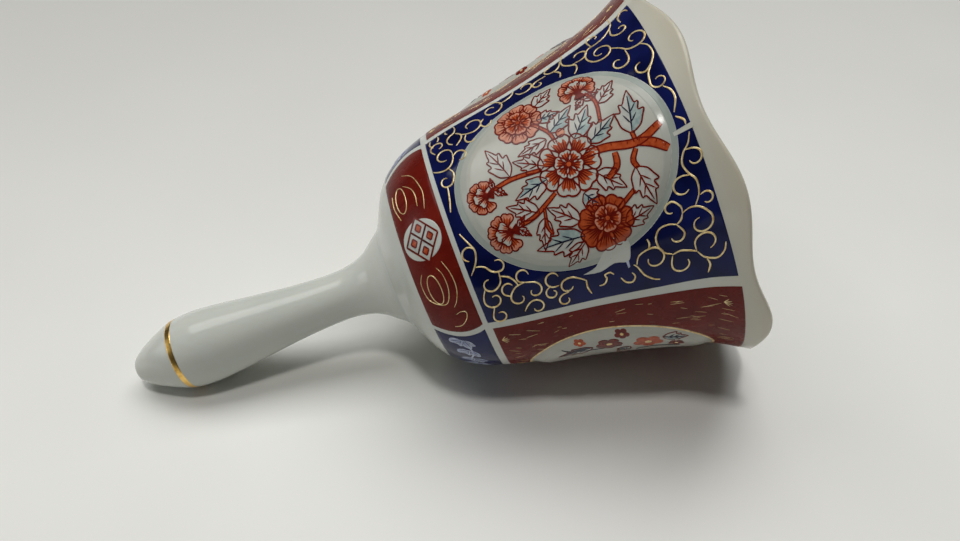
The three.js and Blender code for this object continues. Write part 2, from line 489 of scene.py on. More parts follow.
def washers():
    edge = 0.15
    for name, z in WASHERS.items():
        top = z + WASHER_THICK
        outline = [
            (WASHER_BORE, z + edge), (WASHER_BORE + edge, z), (WASHER_RADIUS - edge, z),
            (WASHER_RADIUS, z + edge), (WASHER_RADIUS, top - edge), (WASHER_RADIUS - edge, top),
            (WASHER_BORE + edge, top), (WASHER_BORE, top - edge),
        ]
        turned(name + "_disc", outline, 64, BELL, BRASS, "bell", [name], closed=True)


def split_pin():
    half = [
        (3.4, 63.4), (1.7, 63.75), (0.8, 64.7), (0.65, 66.2), (0.65, 70.2), (0.95, 71.4),
        (1.62, 72.5), (1.75, 73.6), (1.24, 74.7),
    ]
    near = [(0, -y, z) for y, z in half]
    far = [(0, y, z) for y, z in reversed(half)]
    route = smooth([*near, (0, 0, EYE_Z), *far], 6)
    wire("split_pin_wire", route, PIN_WIRE, BELL, "hanger", "hanger_split_pin")


def chain_links():
    """Links with two straight sides and round ends, each second one across the others."""
    straight = LINK_LENGTH / 2 - LINK_BOW
    for k in range(LINK_COUNT):
        middle = k * LINK_STEP - LINK_HOOK + LINK_LENGTH / 2
        route = []
        for step in circle(48):
            turn = step + math.pi / 48
            along = LINK_BOW * math.sin(turn) + math.copysign(straight, math.sin(turn))
            across = LINK_BOW * math.cos(turn)
            route.append((*((0, across) if k % 2 else (across, 0)), middle + along))
        link = f"link_{k + 1}"
        wire(link + "_wire", route, LINK_WIRE, CHAIN, link, "chain_" + link, closed=True)


def clapper_pin():
    """An eye round the last link, a straight wire through the bead, and its bent end."""
    top = LINK_COUNT * LINK_STEP - LINK_HOOK
    bottom = LINK_HOOK + BEAD_DROP + BEAD_RADIUS
    route = []
    for step in range(11):
        turn = math.radians(-132 + 26.7 * step)
        route.append((-LINK_BOW * math.sin(turn), 0, top + LINK_BOW * (1 - math.cos(turn))))
    tail = [
        (0.45, LINK_BOW * 2 - 0.05), (0, LINK_BOW * 2 + 0.9), (0, LINK_BOW * 2 + 3),
        (0, bottom - 2), (0, bottom + 0.1), (0.35, bottom + 0.85), (1.1, bottom + 1.1),
        (2.2, bottom + 1.1),
    ]
    route += [(-across, 0, top + along) for across, along in tail]
    wire("clapper_wire_bent", smooth(route, 5), LINK_WIRE, CHAIN, "clapper_wire", "clapper_pin")


def clapper_bead():
    middle = LINK_COUNT * LINK_STEP + BEAD_DROP
    opening = math.asin(BEAD_BORE / BEAD_RADIUS)
    outline = []
    for step in range(49):
        turn = opening + (math.pi - 2 * opening) * step / 48
        outline.append((BEAD_RADIUS * math.sin(turn), middle - BEAD_RADIUS * math.cos(turn)))
    turned(
        "bead", outline, 96, CHAIN, BISQUE, "clapper", ["clapper_bead"], closed=True)


# ---- paint

SUNK = -0.02                        # the edge of a sheet of paint lies just inside the glaze
FIELD_LIFT = 0.035
FILL_LIFT = 0.06
LINE_LIFT = 0.09
GOLD_LIFT = 0.11
PAINTS = []


class Paint:
    """All the sheets of one colour, which become one piece."""

    turn = 0                        # middle of the panel that is being painted, in degrees

    def __init__(self, name, material, flat=True):
        self.name = name
        self.material = material
        self.flat = flat
        self.vertices = []
        self.faces = []
        PAINTS.append(self)

    def sheet(self, rows, ring=False):
        """A grid of (x, y, lift) on the skirt. A ring is closed along its rows."""
        first = len(self.vertices)
        for row in rows:
            for x, y, lift in row:
                angle = math.degrees(y / skirt_radius(x))
                self.vertices.append(skin(x, Paint.turn + angle, lift))
        self.faces += grid_faces(len(rows), len(rows[0]), False, ring, first)

    def build(self):
        made = mesh_piece(self.name, self.vertices, self.faces, self.material, "bell")
        if self.flat:
            made.data.shade_flat()


cobalt = Paint("cobalt_fields", enamel(
    "cobalt_glaze", (9, 13, 50), (22, 30, 88), 9, 0.09, gloss=0.2), False)
brick = Paint("brick_red_fields", enamel(
    "brick_red_enamel", (94, 19, 12), (114, 30, 20), 6, 0.25, (1, 2, 1), 0.13), False)
gold = Paint("gold_scrolls", GOLD, False)
orange = Paint("orange_petals", enamel("orange_enamel", (156, 58, 24), (192, 88, 46), 1.1, 0.2))
peach = Paint("peach_petals", enamel("peach_enamel", (182, 104, 76), (214, 154, 128), 1, 0.2))
deep_red = Paint("deep_red_lines", enamel("deep_red_line", (88, 14, 7), (124, 30, 16), 1.5, 0.2))
teal = Paint("teal_leaves", enamel("teal_wash", (128, 150, 150), (178, 190, 184), 1.2, 0.12))
blush = Paint("pale_washes", enamel("pale_wash", (180, 182, 176), (198, 196, 188), 1.6, 0.14))
white = Paint("white_reserves", PORCELAIN)
washed_blue = Paint("washed_blue_leaves", enamel(
    "washed_blue", (150, 160, 196), (200, 207, 224), 1.8, 0.12))
ink = Paint("ink_strokes", enamel("dark_ink", (18, 20, 36), (44, 46, 66), 1.5, 0.15))
ivory = Paint("ivory_petals", IVORY)
# Greenish-grey glaze pooled on the bevel of each large medallion, with painted shade: the outer ring
# is darker and stands in for the shade on the bevel.
bevel_glaze_shade_paint = Paint("bevel_glaze_with_painted_shade", enamel(
    "bevel_glaze_painted_shade_enamel", (172, 176, 167), (182, 184, 175), 5, 0.2), False)
bevel_outer_shade_paint = Paint("bevel_rims_painted_shade", enamel(
    "bevel_rim_painted_shade_enamel", (152, 162, 155), (166, 173, 165), 5, 0.2), False)


def leftwards(a, b):
    """A step of length 1 to the left of the way from a to b."""
    dx, dy = b[0] - a[0], b[1] - a[1]
    size = math.hypot(dx, dy) or 1.0
    return -dy / size, dx / size


def stroke(paint, points, width, lift=LINE_LIFT, taper=0.35, step=0.4, closed=False):
    """A brush stroke through the points, narrower towards its ends."""
    rough = smooth([*points, points[0]] if closed else points, 8) if len(points) > 2 else points
    lengths = [0.0]
    for a, b in zip(rough, rough[1:]):
        lengths.append(lengths[-1] + math.dist(a, b))
    count = max(int(lengths[-1] / step), 3)
    path = []
    for k in range(count + 1):
        target = lengths[-1] * k / count
        span = min(max(bisect.bisect(lengths, target), 1), len(lengths) - 1)
        reach = lengths[span] - lengths[span - 1]
        share = (target - lengths[span - 1]) / reach if reach else 0
        path.append(between(rough[span - 1], rough[span], share))
    section = ((1, SUNK), (0.88, lift), (0, lift), (-0.88, lift), (-1, SUNK))
    rows = [[] for _ in section]
    for k, (x, y) in enumerate(path):
        nx, ny = leftwards(path[max(k - 1, 0)], path[min(k + 1, count)])
        full = 1 if closed else swell(k / count, 0.6)
        half = width / 2 * (taper + (1 - taper) * full)
        for row, (side, height) in zip(rows, section):
            row.append((x + nx * half * side, y + ny * half * side, height))
    paint.sheet(rows)


def wedge(paint, start, end, width, lift):
    """A streak that is broad where the brush was set down and thins out to its end."""
    nx, ny = leftwards(start, end)
    rows = []
    for side, height in ((1, SUNK), (0.88, lift), (-0.88, lift), (-1, SUNK)):
        row = []
        for share in (0, 0.25, 0.5, 0.75, 1):
            x, y = between(start, end, share)
            half = side * width / 2 * (1 - 0.85 * share ** 1.5)
            row.append((x + nx * half, y + ny * half, height))
        rows.append(row)
    paint.sheet(rows)


def blob(paint, outline, lift=FILL_LIFT, centre=None):
    """A filled shape, seen whole from its centre."""
    centre = centre or [sum(values) / len(outline) for values in zip(*outline)]
    rows = []
    for share, height in ((1, SUNK), (0.93, lift), (0.62, lift), (0.3, lift), (0.02, lift)):
        rows.append([(*between(centre, place, share), height) for place in outline])
    paint.sheet(rows, ring=True)


def disc(paint, centre, radius, lift=FILL_LIFT, sides=20):
    blob(paint, ellipse(centre, radius, radius, sides), lift, centre)


def curl(start, centre, turns, tight):
    """The points of a spiral from its start round a centre, drawn in to a share of its radius."""
    angle = math.atan2(start[1] - centre[1], start[0] - centre[0])
    radius = math.dist(start, centre)
    count = max(int(abs(turns) * 10), 4)
    points = []
    for k in range(1, count + 1):
        share = k / count
        reach = radius * (1 + (tight - 1) * share)
        points.append(polar(centre, reach, angle + 2 * math.pi * turns * share))
    return points


# ---- fields

COBALT_TURNS = (PANEL_TURN, PANEL_TURN + 180)
BRICK_TURNS = (PANEL_TURN + 90, PANEL_TURN + 270)
COBALT_EDGE = [(85.2, 47.3), (100, 48.1), (120, 47.7), (134.2, 46.3)]  # (x, degrees)
BRICK_EDGE = [(85.7, 39.4), (100, 38.9), (120, 39.2), (134.5, 40)]
BAND_LOW = 73.7
BAND_HIGH = 84.2


def edge_reach(edge, x):
    """How far from the middle of its panel an edge is at this height."""
    for (x0, a0), (x1, a1) in zip(edge, edge[1:]):
        if x <= x1:
            return arc(x, a0 + (a1 - a0) * (x - x0) / (x1 - x0))
    return arc(x, edge[-1][1])


def medallion_place(oval, share, angle):
    """A place in a medallion, this share of the way from its middle to its edge."""
    half_length, half_width, middle = oval
    egg = 1 + MEDALLION_EGG * math.cos(angle)
    return (MEDALLION_Z + half_length * share * math.cos(angle),
            arc(MEDALLION_Z, middle) + half_width * egg * share * math.sin(angle))


def field(paint, edge, oval):
    """The ground of a panel, from its four edges in to the medallion."""
    low, high = edge[0][0], edge[-1][0]
    border = []
    for sign, start, end, steps in ((1, low, high, 120), (-1, high, low, 96)):
        for k in range(96):
            x = start + (end - start) * k / 96
            border.append((x, sign * edge_reach(edge, x)))
        reach = sign * edge_reach(edge, end)
        border += [(end, reach * (1 - 2 * k / steps)) for k in range(steps)]
    half_length, half_width, middle = oval
    shift = arc(MEDALLION_Z, middle)
    inner = []
    for x, y in border:
        angle = math.atan2((y - shift) / half_width, (x - MEDALLION_Z) / half_length)
        inner.append(medallion_place(oval, 1, angle))
    rows = []
    for share in (0, 0.012, *(k / 26 for k in range(1, 26)), 0.985, 1):
        lift = SUNK if share in (0, 1) else FIELD_LIFT
        rows.append([(*between(a, b, share), lift) for a, b in zip(inner, border)])
    paint.sheet(rows, ring=True)


def band(paint, start, end, bulge):
    """A block of the shoulder band, between two angles that bow outwards half way up."""
    tall = BAND_HIGH - BAND_LOW
    middle = [BAND_LOW + tall * k / 14 for k in range(1, 14)]
    rows = []
    for x in (BAND_LOW, BAND_LOW + 0.08, *middle, BAND_HIGH - 0.08, BAND_HIGH):
        bow = bulge * swell((x - BAND_LOW) / tall, 0.8)
        first, last = arc(x, start - bow), arc(x, end + bow)
        row = []
        for k in range(121):
            sunk = x in (BAND_LOW, BAND_HIGH) or k in (0, 120)
            row.append((x, first + (last - first) * (k / 120), SUNK if sunk else FIELD_LIFT))
        rows.append(row)
    paint.sheet(rows)


def bevel_ring(paint, oval, inner, outer):
    """A ring of colour on the bevel of a medallion, between two shares of the way out. On the large
    medallions it is greenish glaze pooled on the bevel, with painted shade.
    """
    rows = []
    for step in range(9):
        share = inner + (outer - inner) * step / 8
        lift = SUNK if step in (0, 8) else FIELD_LIFT + 0.015
        rows.append([(*medallion_place(oval, share, angle), lift) for angle in circle(384)])
    paint.sheet(rows, ring=True)


def fields():
    for Paint.turn in COBALT_TURNS:
        # painted shade on the bevel: pooled greenish glaze, a paler inner ring and a darker outer
        # ring
        bevel_ring(bevel_glaze_shade_paint, LARGE_MEDALLION, 0.87, 0.945)
        bevel_ring(bevel_outer_shade_paint, LARGE_MEDALLION, 0.94, 1)
        field(cobalt, COBALT_EDGE, LARGE_MEDALLION)
        band(brick, -46.5, 47.5, 3.7)
    for Paint.turn in BRICK_TURNS:
        bevel_ring(ivory, SMALL_MEDALLION, 0.85, 1)
        field(brick, BRICK_EDGE, SMALL_MEDALLION)
        band(cobalt, -40, 40, -3.7)


# ---- gold scrolls of the cobalt panels

# Each scroll is a stem, or a stem with a curl: the centre it winds round, its turns (plus is from
# +x towards +y) and the share of its radius that is left at its end.
SCROLLS = [
    ([(90.4, -15)], (88.6, -15.2), -0.8, 0.8),
    [(90.4, -15), (90.2, -13.5), (89.3, -11.9), (87.9, -11.3), (86.4, -11.6), (85.4, -12.2)],
    ([(88.8, -11.3), (89.4, -9.8), (88.8, -8)], (87.4, -8.6), 0.78, 0.5),
    [(87.3, -7.2), (86.9, -4.5), (86.2, -1.8)],
    ([(90.3, -14), (91.3, -14.8)], (91.8, -13.3), 0.62, 0.65),
    [(86.5, -22.7), (86.2, -21), (86.9, -19.4)],
    ([(86.9, -16.9), (86.2, -18.2)], (87.8, -19), 0.79, 0.45),
    [(88.4, -23), (88.4, -22), (88, -21)],
    [(90.2, -23.4), (90.1, -22.7), (90.6, -22.1)],
    [(92.2, -24), (92.4, -22.8), (92, -21.4), (90.9, -20.8), (90.1, -19.7), (90.2, -18.3),
     (91.1, -17.4)],
    [(92.3, -20.8), (93.3, -19.5), (93, -18), (91.7, -16.6)],
    ([(93.3, -19.5), (94.5, -18.8)], (96, -21), -0.92, 0.4),
    [(94.3, -18.6), (93.8, -17.3), (94.2, -16.1), (95.2, -15.8), (95.9, -16.2)],
    [(98.8, -21.3), (98, -20.3), (98.2, -18.9), (99.3, -18.2), (100.3, -19.6)],
    ([(101.3, -26.8), (102.6, -25.6)], (101.1, -23.4), 1.1, 0.25),
    [(103, -24.2), (104.5, -24.4), (106, -25.2), (106.7, -26.5)],
    ([(107, -25.1), (107.7, -23.9)], (109.1, -25.6), -0.86, 0.3),
    ([(114, -25.6), (112.3, -25.5)], (112, -24), -0.94, 0.25),
    ([(117.8, -28.2), (117.2, -26.5)], (115.4, -27.2), 0.72, 0.5),
    [(115.9, -25.3), (116.8, -23.8), (116.4, -22.2)],
    [(118.7, -30.8), (118, -28), (118, -26), (119, -24.6), (120.2, -23.6), (120, -22),
     (119.2, -20.9)],
    ([(119.8, -24.3), (121.6, -24.3)], (121.5, -26.2), -0.7, 0.5),
    ([(129.9, -34), (130, -31.5), (129.3, -29.5), (127.5, -27.6), (125.5, -26.8), (123.7, -26.6),
     (122.7, -25), (122.6, -23)], (125.4, -23.2), -1.28, 0.25),
    ([(124.5, -26.8), (124.2, -29)], (125.6, -29.6), 0.73, 0.4),
    ([(129.3, -29.5), (128.8, -27)], (130.7, -26.7), -0.87, 0.2),
    [(131.5, -28.5), (131.4, -30.5), (132.2, -32), (133.2, -31.8), (133.6, -30.5)],
    ([(127.2, -22.7), (128.8, -21.2), (129.9, -19.7), (131.3, -19.2)], (132, -21.5), -0.95, 0.3),
    ([(129.5, -19.7), (129.5, -17.7)], (127.5, -17.5), 0.87, 0.3),
    ([(132.3, -19.2), (133.4, -17.7), (133.5, -15.3), (132.6, -13.5), (131.3, -11.7),
     (130.8, -9.7)], (132.3, -9), -0.93, 0.4),
    ([(132.6, -13.5), (131.2, -12.3)], (130.8, -13.6), 0.55, 0.9),
    [(132.5, -7.4), (133.4, -6), (133.5, -4), (132.4, -1.6)],
    [(132.3, -0.8), (133.4, 0.5), (133.4, 1.5)],
    [(133.5, 3), (132.6, 4.8), (131.3, 6), (130.5, 7.8), (131, 9.8), (131.9, 11.5), (131.6, 14),
     (130.4, 15.8)],
    ([(131.7, 5.6), (133, 5.9)], (132.7, 7.6), 0.69, 0.5),
    ([(131, 10.2), (129.8, 9.8)], (129.3, 11.6), -0.66, 0.7),
    ([(131.7, 14.4)], (132.6, 15.5), 0.75, 0.5),
    ([(127.8, 16.2), (129.3, 15.8), (131, 16.4), (132.4, 18.3)], (130.5, 19.4), 0.82, 0.5),
    ([(127.8, 16.2), (127.9, 15), (127, 13.6)], (126.1, 14.6), -0.63, 0.6),
    [(127.8, 16.2), (127.2, 17.3), (126.2, 17.8)],
    [(126.2, 17.8), (124.8, 17.2), (123, 17.3), (121.9, 18.8), (122, 21), (122.8, 22.4),
     (123.9, 23.1)],
    ([(126.2, 17.8), (127.1, 19.5)], (125.7, 19.9), 0.53, 0.75),
    ([(123.9, 23.5), (123.4, 25)], (125.2, 25.8), -0.62, 0.65),
    [(123.9, 23.3), (125.5, 23.1), (127, 23.7), (128.3, 24.5)],
    ([(128.3, 24.5), (128.4, 22.6)], (130.3, 23.4), 0.64, 0.75),
    [(128.4, 24.6), (129.4, 26.3), (131.4, 27.4), (132.9, 26.5), (133.5, 24.9)],
    [(129.7, 26.8), (130, 28.3), (129.3, 29.9)],
    [(120.3, 18.2), (120.5, 19.3), (120, 20.3)],
    ([(117.1, 22.5), (117.9, 20.9), (119.6, 20.3)], (120.5, 22.6), 0.87, 0.45),
    [(116.5, 22.2), (117.1, 23), (118, 25.3), (119.4, 26.9), (120.5, 27.5)],
    [(113.5, 23.9), (114.2, 25.3), (115.4, 25.8), (116.2, 24.8), (115.8, 23.7)],
    [(109.1, 23.9), (110.2, 23.9), (110.9, 22.9), (110.7, 22), (111.8, 21.9), (112.4, 22.6)],
    [(86.4, 3), (87.3, 5), (88.2, 7.2), (87.8, 9), (87, 10.3), (85.8, 11.6)],
    ([(88, 6.8)], (86.8, 7.5), -0.62, 1),
    ([(87.2, 10.4), (88.8, 11), (90, 12.5), (91.3, 13)], (91.5, 11.8), -0.56, 1),
    ([(91.2, 13), (90.9, 15), (90, 16)], (88.7, 14.7), 0.64, 0.5),
    ([(87.3, 15.5), (86.5, 17)], (88.4, 18.2), -0.89, 0.3),
    ([(87.8, 20), (87.1, 21.5)], (88.4, 22.4), -0.88, 0.6),
    [(91.2, 14), (92.8, 14.9), (93.7, 16.3), (93.9, 17.3)],
    ([(96.6, 15.8)], (95.4, 15.7), -0.75, 1.15),
    ([(95.3, 17.1), (93.5, 17.3), (92.2, 18.3)], (93.4, 19.9), -0.7, 0.3),
    ([(92, 19), (90.9, 18.3)], (91.8, 17.2), 0.57, 0.8),
    ([(95.3, 17.1), (97.2, 17.8)], (96.6, 19.6), 0.8, 0.3),
    ([(93.4, 23.4), (94.3, 22.3)], (96, 23.5), 0.9, 0.3),
    ([(102, 18.5)], (100.9, 18.7), -0.78, 1.7),
    ([(100, 19.9), (98.9, 20.6)], (99.9, 21.6), -0.79, 0.4),
    ([(107, 21.7), (106.2, 20.9), (104.5, 19.8), (102.9, 19.8)], (103.3, 21.3), -0.63, 0.65),
    ([(103, 22.7), (101.7, 22.8)], (101.9, 24.2), -0.79, 0.5),
    [(107, 21.5), (106.8, 23.2), (107.2, 25)],
]


def panel_scrolls():
    for points in SCROLLS:
        if isinstance(points, tuple):
            stem, *ending = points
            points = stem + curl(stem[-1], *ending)
        stroke(gold, points, 0.37, GOLD_LIFT, 0.45)


# ---- flowering branch of the large medallions

PETAL_EDGE = [
    (0.0, -0.30), (0.35, -0.72), (0.72, -1.0), (0.93, -0.62), (0.94, -0.22), (0.88, 0.0),
    (0.95, 0.28), (0.92, 0.68), (0.70, 1.0), (0.35, 0.72), (0.0, 0.30),
]


def petal(fill, centre, base, tip, angle, spread, streaks, line, flush=None, above=0):
    """A notched petal with an outline, a flush of colour at its base and streaks out of it."""
    long = tip - base
    edge = []
    for along, across in PETAL_EDGE:
        edge.append(polar(centre, base + long * along / 0.95, angle + spread * across))
    edge = smooth(edge, 3)
    blob(fill, edge, FILL_LIFT + above)
    if flush:
        warm = [polar(centre, base, angle + spread * side) for side in (-0.4, 0.4)]
        for k in range(7):
            reach = base + long * (0.78 if k % 2 else 0.56)
            warm.append(polar(centre, reach, angle + spread * 0.75 * (1 - k / 3)))
        blob(flush, warm, LINE_LIFT + above)
    stroke(deep_red, edge, line, LINE_LIFT + above, taper=0.8)
    for k in range(streaks):
        lean = spread * 0.78 * (2 * (k + 0.5) / streaks - 1)
        start = polar(centre, base * 0.8, angle + lean * 0.9)
        end = polar(centre, tip - long * (0.2 + 0.22 * (k % 2)), angle + lean)
        wedge(deep_red, start, end, line * 1.2, GOLD_LIFT + above)


def flower(fill, centre, radius, petals, phase, heart=0.3, streaks=3, line=0.36, flush=None,
           above=0):
    """A ring of petals, over a disc of their colour."""
    disc(fill, centre, radius * 0.84, FIELD_LIFT + above, 32)
    for at in circle(petals):
        petal(fill, centre, radius * heart, radius, phase + at, math.pi / petals * 1.02,
              streaks, line, flush, above)


def stamens(centre, radius, count):
    """The dark heart of a flower: a spot with short strokes that spread from it."""
    lift = GOLD_LIFT + 0.06
    disc(deep_red, centre, radius * 0.75, lift, 12)
    disc(orange, centre, radius * 0.5, lift + 0.02, 12)
    for at in circle(count):
        ends = [polar(centre, radius * 0.6, at), polar(centre, radius * 1.1, at)]
        stroke(deep_red, ends, 0.34, lift, 0.4)


LEAF_EDGE = [(0, 0.04), (0.15, 0.62), (0.34, 0.84), (0.50, 0.98), (0.50, 0.60), (0.68, 0.66),
             (0.68, 0.40), (0.84, 0.22), (1, 0)]
LEAF_LINE = 0.34


def laid(base, tip, width, shape):
    """A shape on the way from base to tip: (share along it, share of its length to the left)."""
    dx, dy = tip[0] - base[0], tip[1] - base[1]
    places = []
    for along, across in shape:
        across *= width
        places.append((base[0] + dx * along - dy * across, base[1] + dy * along + dx * across))
    return places


def leaf(base, tip, width, wash=None):
    """A toothed leaf: an outline, a midrib and side veins, with half of it washed in colour."""
    left = laid(base, tip, width, LEAF_EDGE)
    right = laid(base, tip, -width, reversed(LEAF_EDGE))
    blob(blush, left + right[1:-1], FIELD_LIFT)
    if wash:
        blob(wash, left + laid(base, tip, width, [(0.75, 0.03), (0.5, 0.03), (0.25, 0.03)]))
    for side in (left, right):
        stroke(deep_red, side, LEAF_LINE, step=0.3, taper=0.7)
    vein = ink if wash else deep_red
    stroke(vein, laid(base, tip, width, [(0, 0), (0.45, 0.05), (0.86, 0)]), LEAF_LINE)
    for along in (0.22, 0.44):
        for hand in (-0.46, 0.46):
            ends = laid(base, tip, width, [(along, 0), (along + 0.22, hand)])
            stroke(vein, ends, LEAF_LINE * 0.85, taper=0.15)


def branch(points, width):
    """An orange bough with dark sides and short ticks of bark across it."""
    stroke(orange, points, width, FILL_LIFT, 0.75)
    path = smooth(points, 6) if len(points) > 2 else points
    last = len(path) - 1
    for hand in (-1, 1):
        side = []
        for k, (x, y) in enumerate(path):
            nx, ny = leftwards(path[max(k - 1, 0)], path[min(k + 1, last)])
            reach = hand * width * (0.75 + 0.25 * swell(k / last, 0.6)) / 2
            side.append((x + nx * reach, y + ny * reach))
        stroke(deep_red, side, 0.3, taper=0.7)
    for k in range(2, last, 3):
        (x, y), (nx, ny) = path[k], leftwards(path[k], path[k + 1])
        stroke(deep_red, [(x + nx * width * 0.4, y + ny * width * 0.4), (x, y)], 0.16)


BRANCHES = [
    ([(129.5, -1), (124.5, 0.5), (119, -1), (115, -1.5)], 1.5),
    ([(129.3, 4), (127, 1.8), (124.5, 0.5)], 1.6), ([(124.3, 0.3), (124.2, -1.8)], 0.9),
    ([(120, 0.5), (119.5, 3), (117.2, 4.5)], 1.1), ([(123.8, 1.5), (122.6, 3.3), (123, 5)], 0.9),
    ([(106, -2.2), (100, -2.8), (95.5, -2.2)], 0.8), ([(107, 3), (102, 5.5), (98.5, 6.2)], 0.8),
    ([(110.5, -6), (109.8, -9), (107.5, -12)], 0.6),
    ([(119.6, -6), (120.3, -10.5), (119, -13.5)], 0.6), ([(116.5, 10.8), (121, 8.3)], 1),
    ([(104, 4.8), (103.4, 8), (103.8, 10)], 0.5),
]
# base, tip, half width over length and, if half of the leaf is washed with colour, its paint
LEAVES = [
    ((109, -16), (113.6, -19.1), 0.36), ((108.6, -12.6), (113.4, -12.2), 0.34, teal),
    ((110, -8.6), (115.8, -12.4), 0.32, teal), ((120.6, -10), (124.8, -13.4), 0.34),
    ((114, -5.2), (118.7, -10.8), 0.34, teal), ((116.2, -3.2), (122.6, -6.4), 0.32, teal),
    ((124.2, -1.4), (126.2, -9.8), 0.32, teal), ((99.8, -3.4), (96.9, -11), 0.30),
    ((109, -7.6), (102.6, -6.6), 0.26), ((106.8, -2.6), (101.2, -6), 0.32),
    ((106.4, 0), (99.2, 1.4), 0.30, teal), ((102.8, 5.4), (97, 1.9), 0.32),
    ((103.4, 6.6), (101.4, 12.4), 0.28), ((109.6, 9.8), (104.4, 5), 0.32),
    ((109.5, 12.6), (99.8, 11.8), 0.28, teal), ((109.2, 13.8), (104.6, 17.4), 0.34),
    ((115.5, 2.6), (119.9, 7.4), 0.34), ((112, 5.2), (114.4, 8.6), 0.5, teal),
    ((122.6, 4.6), (124, 12.6), 0.32), ((117.5, 13.4), (123.4, 12.6), 0.36),
    ((118.3, -12.2), (121.6, -12.4), 0.3), ((118.3, -12.6), (116.2, -10.8), 0.3),
    ((95.8, -2.4), (98.2, -0.2), 0.26), ((95.8, -2.4), (96, -4.8), 0.26),
    ((97.8, 6.4), (99.9, 8.8), 0.26), ((97.8, 6.4), (100, 4.6), 0.26),
]


def spray():
    """Six flowers on a bough: a large one in the middle, and the others round it."""
    for shape in LEAVES:
        leaf(*shape)
    for bough in BRANCHES:
        branch(*bough)
    bowl((118.0, -15.4), 3.7, math.pi / 2)
    bowl((93.4, -1.6), 3.3, 0)
    bowl((95.4, 6.6), 3.8, 0)
    crowded, low, low_heart, middle = (105, -14), (114, 12), (114.6, 11.2), (111.3, -1)
    flower(peach, crowded, 4.9, 8, 0.2, 0.38)
    flower(peach, crowded, 2.9, 6, 0.5, 0.3, 2, 0.32, orange, 0.06)
    stamens(crowded, 0.8, 5)
    flower(orange, low, 5.3, 7, 0.1, 0.3, 5)
    flower(peach, low_heart, 2.7, 5, 0.4, 0.3, 3, 0.34, orange, 0.06)
    stamens(low_heart, 0.9, 5)
    flower(ivory, middle, 6.1, 7, 0.15, 0.36, 6, 0.4, orange)
    flower(ivory, middle, 2.9, 6, 0.5, 0.3, 3, 0.34, orange, 0.06)
    stamens(middle, 1.0, 4)
    bud = (112, -7.6)
    disc(peach, bud, 0.9, LINE_LIFT, 12)
    stroke(deep_red, curl((112.9, -7.6), bud, 0.97, 1.0), 0.3, GOLD_LIFT, 0.7)


def bowl(centre, radius, facing):
    """A half-open flower seen from the side: round outer petals behind three white inner ones."""
    back = facing + math.pi
    disc(peach, polar(centre, radius * 0.2, back), radius * 0.6, FIELD_LIFT)
    for k in (0, 5, 1, 4, 2, 3):
        petal(peach, centre, radius * 0.25, radius, back + (k - 2.5) * 0.78, 0.42, 3, 0.32,
              orange)
    root = polar(centre, radius * 0.4, facing)
    for lean, reach in ((-0.62, 0.85), (0.62, 0.85), (0, 1.0)):
        petal(ivory, root, radius * 0.1, radius * reach, back + lean, 0.4, 3, 0.3, peach, 0.06)
    for k in range(-2, 3):
        start = polar(centre, radius * 0.7, facing + k * 0.2)
        wedge(deep_red, start, polar(centre, radius * 0.3, back + k * 0.5), 0.5, GOLD_LIFT + 0.08)


# ---- ornament of the shoulder band

def degrees_out(points):
    """(x, degrees) as (x, distance) on the skirt."""
    return [(x, arc(x, angle)) for x, angle in points]


BAND_LINES = [
    [(75, -30), (74.8, -22), (75.6, -13)],
    [(78, -30), (79.6, -25), (80.2, -20), (80, -14)],
    [(78.4, -37), (80.6, -31), (81.8, -22), (81.9, -17), (81.3, -11)],
    [(76, 17), (75.1, 22), (75.4, 30), (77, 33.5), (79, 33.5), (80.3, 27), (80.3, 20), (79.5, 16)],
    [(81, 14), (81.9, 20), (82, 27), (81, 33), (80, 36)],
    [(79.8, 40), (81, 38.7), (82, 39.5), (81.5, 43), (80, 46.5), (78.5, 47)],
]
BAND_RINGS = [((76.8, -23), 1.2, 8), ((77.6, 26), 1.35, 7.5)]   # centre, half x, half degrees


def red_band_ornament():
    """Fine gold eddies each side of a white disc that holds a lozenge of four diamonds."""
    for line in BAND_LINES:
        stroke(gold, degrees_out(line), 0.17, GOLD_LIFT, 0.3)
    for middle, half_x, half_angle in BAND_RINGS:
        ring = degrees_out(ellipse(middle, half_x, half_angle, 16))
        stroke(gold, ring, 0.17, GOLD_LIFT, 0.6, closed=True)
    middle = degrees_out([(78.7, 1.5)])[0]
    disc(white, middle, 4.45, LINE_LIFT, 40)
    half_x, half_y = 1.85, 2.45
    for along, across in ((0, -1), (-1, 0), (1, 0), (0, 1)):
        x, y = middle[0] + along * half_x, middle[1] + across * half_y
        corners = [(x - half_x, y), (x, y - half_y), (x + half_x, y), (x, y + half_y)]
        inner = [between((x, y), corner, 0.4) for corner in corners]
        blob(blush, corners, LINE_LIFT + 0.02)
        blob(orange, inner, LINE_LIFT + 0.04)
        for shape, width in ((corners, 0.42), (inner, 0.36)):
            for ends in zip(shape, shape[1:] + shape[:1]):
                stroke(deep_red, ends, width, LINE_LIFT + 0.06, 0.9)


# the root of each fan, as (x, degrees), and how far each of its leaves leans
FANS = [((78.6, 33), (-1.0, -0.35, 0.3, 0.9)), ((79.0, 24), (-0.9, -0.2, 0.5)),
        ((79.2, 14), (-1.0, -0.3, 0.4, 1.0))]


